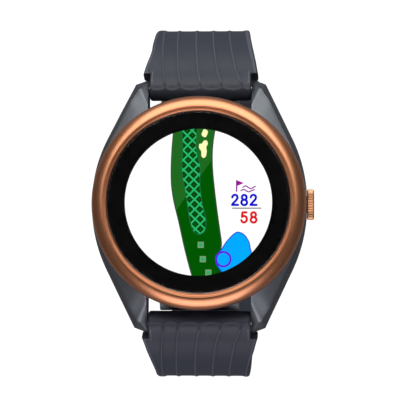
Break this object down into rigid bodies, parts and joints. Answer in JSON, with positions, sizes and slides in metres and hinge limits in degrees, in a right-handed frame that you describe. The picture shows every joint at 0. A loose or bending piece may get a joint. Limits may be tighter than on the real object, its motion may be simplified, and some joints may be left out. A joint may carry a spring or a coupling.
{
  "type": "golf gps watch",
  "caption": "Round golf watch with a domed metal bezel, colour display, side crown, plastic case with lugs, and an unfastened fluted rubber strap with a pin buckle.",
  "frame": {"origin": "centre of the back cover's flat outer face, which rests on the wrist", "axes": "+Z leaves the dial, +Y points to 12 o'clock, +X points to 3 o'clock, where the crown is"},
  "size_m": [0.0469, 0.0774, 0.0987],
  "materials": {
    "case_plastic": "satin moulded plastic, dark grey",
    "copper": "satin rose-gold anodised metal",
    "glass": "clear, polished",
    "ink": "black printed border",
    "touch_film": "clear film",
    "display": "lit colour display",
    "diffuser": "white light guide",
    "rubber": "matt silicone, dark slate grey",
    "steel": "plain stainless steel",
    "gold": "gold plated",
    "board": "green solder mask",
    "chip": "black moulded plastic",
    "shield": "plated sheet metal",
    "flex": "amber polyimide film",
    "foil": "laminated foil pouch",
    "seal": "matt black elastomer",
    "red_wire": "red insulation",
    "black_wire": "black insulation",
    "back_plastic": "fine-textured moulded plastic, near black"
  },
  "bodies": {
    "watch_head": {"mid_case": "case_plastic", "bezel": "copper", "lens": "glass", "lens_mask": "ink", "lens_adhesive": "seal", "touch_sensor": "touch_film", "display_panel": "display", "backlight_plate": "diffuser", "display_bracket": "chip", "display_flex": "flex", "display_connector": "chip", "main_board": "board", "board_screw_1": "steel", "board_screw_2": "steel", "board_screw_3": "steel", "processor": "chip", "flash_memory": "chip", "rf_shield": "shield", "gps_antenna": "gold", "battery": "foil", "battery_pad": "seal", "battery_lead_positive": "red_wire", "battery_lead_negative": "black_wire", "battery_connector": "chip", "motor_can": "shield", "motor_base": "chip", "motor_shaft": "steel", "switch_body": "chip", "crown_tube": "steel", "crown_oring": "seal", "crown_spring": "steel", "back_cover": "back_plastic", "back_gasket": "seal", "back_screw_1": "steel", "back_screw_2": "steel", "back_screw_3": "steel", "back_screw_4": "steel", "charging_contact_1": "gold", "charging_contact_2": "gold", "charging_contact_3": "gold", "charging_contact_4": "gold", "upper_bar_tube": "steel", "lower_bar_tube": "steel"},
    "crown_thrust": {"crown_washer": "steel"},
    "crown_knob": {"crown": "copper", "crown_stem": "steel", "crown_clip": "steel"},
    "switch_button": {"switch_plunger": "seal"},
    "motor_weight": {"motor_rotor": "steel"},
    "upper_tip_right": {"upper_bar_tip_right": "steel"},
    "upper_tip_left": {"upper_bar_tip_left": "steel"},
    "lower_tip_right": {"lower_bar_tip_right": "steel"},
    "lower_tip_left": {"lower_bar_tip_left": "steel"},
    "short_strap": {"strap_upper": "rubber", "keeper_fixed": "rubber"},
    "sliding_keeper": {"keeper_free": "rubber"},
    "buckle": {"buckle_frame": "copper", "buckle_pin": "steel"},
    "tongue": {"buckle_tongue": "copper"},
    "long_strap": {"strap_lower": "rubber"}
  },
  "joints": [
    {"name": "crown_press", "type": "slide", "parent": "watch_head", "child": "crown_thrust", "axis": [-1, 0, 0], "range_m": [0, 0.00035], "stiffness_N_per_m": 1500, "springref_m": -0.0006, "deforming": ["crown_spring"]},
    {"name": "crown_turn", "type": "hinge", "parent": "crown_thrust", "child": "crown_knob", "pos_m": [0.0234, 0, 0.0049], "axis": [1, 0, 0], "continuous": true},
    {"name": "switch_press", "type": "slide", "parent": "watch_head", "child": "switch_button", "axis": [-1, 0, 0], "range_m": [0, 0.00035]},
    {"name": "motor_spin", "type": "hinge", "parent": "watch_head", "child": "motor_weight", "pos_m": [0.0109, -0.0052, 0.0043], "axis": [0, 0, 1], "continuous": true},
    {"name": "upper_tip_right_slide", "type": "slide", "parent": "watch_head", "child": "upper_tip_right", "axis": [-1, 0, 0], "range_m": [0, 0.0011], "stiffness_N_per_m": 800, "springref_m": -0.001},
    {"name": "upper_tip_left_slide", "type": "slide", "parent": "watch_head", "child": "upper_tip_left", "axis": [1, 0, 0], "range_m": [0, 0.0011], "stiffness_N_per_m": 800, "springref_m": -0.001},
    {"name": "lower_tip_right_slide", "type": "slide", "parent": "watch_head", "child": "lower_tip_right", "axis": [-1, 0, 0], "range_m": [0, 0.0011], "stiffness_N_per_m": 800, "springref_m": -0.001},
    {"name": "lower_tip_left_slide", "type": "slide", "parent": "watch_head", "child": "lower_tip_left", "axis": [1, 0, 0], "range_m": [0, 0.0011], "stiffness_N_per_m": 800, "springref_m": -0.001},
    {"name": "strap_upper_swing", "type": "hinge", "parent": "watch_head", "child": "short_strap", "pos_m": [0, 0.025, 0.0034], "axis": [1, 0, 0], "range_deg": [-10, 45]},
    {"name": "strap_lower_swing", "type": "hinge", "parent": "watch_head", "child": "long_strap", "pos_m": [0, -0.025, 0.0034], "axis": [-1, 0, 0], "range_deg": [-5, 45]},
    {"name": "keeper_slide", "type": "hinge", "parent": "short_strap", "child": "sliding_keeper", "pos_m": [0, 0.00683, -0.01926], "axis": [-1, 0, 0], "range_deg": [-29, 3]},
    {"name": "buckle_swing", "type": "hinge", "parent": "short_strap", "child": "buckle", "pos_m": [0, 0.01462, -0.05132], "axis": [1, 0, 0], "range_deg": [-60, 35]},
    {"name": "tongue_swing", "type": "hinge", "parent": "buckle", "child": "tongue", "pos_m": [0, 0.01462, -0.05132], "axis": [1, 0, 0], "range_deg": [0, 50]}
  ],
  "couplings": [
    {"joint": "switch_press", "follows": "crown_press", "ratio": 1}
  ]
}
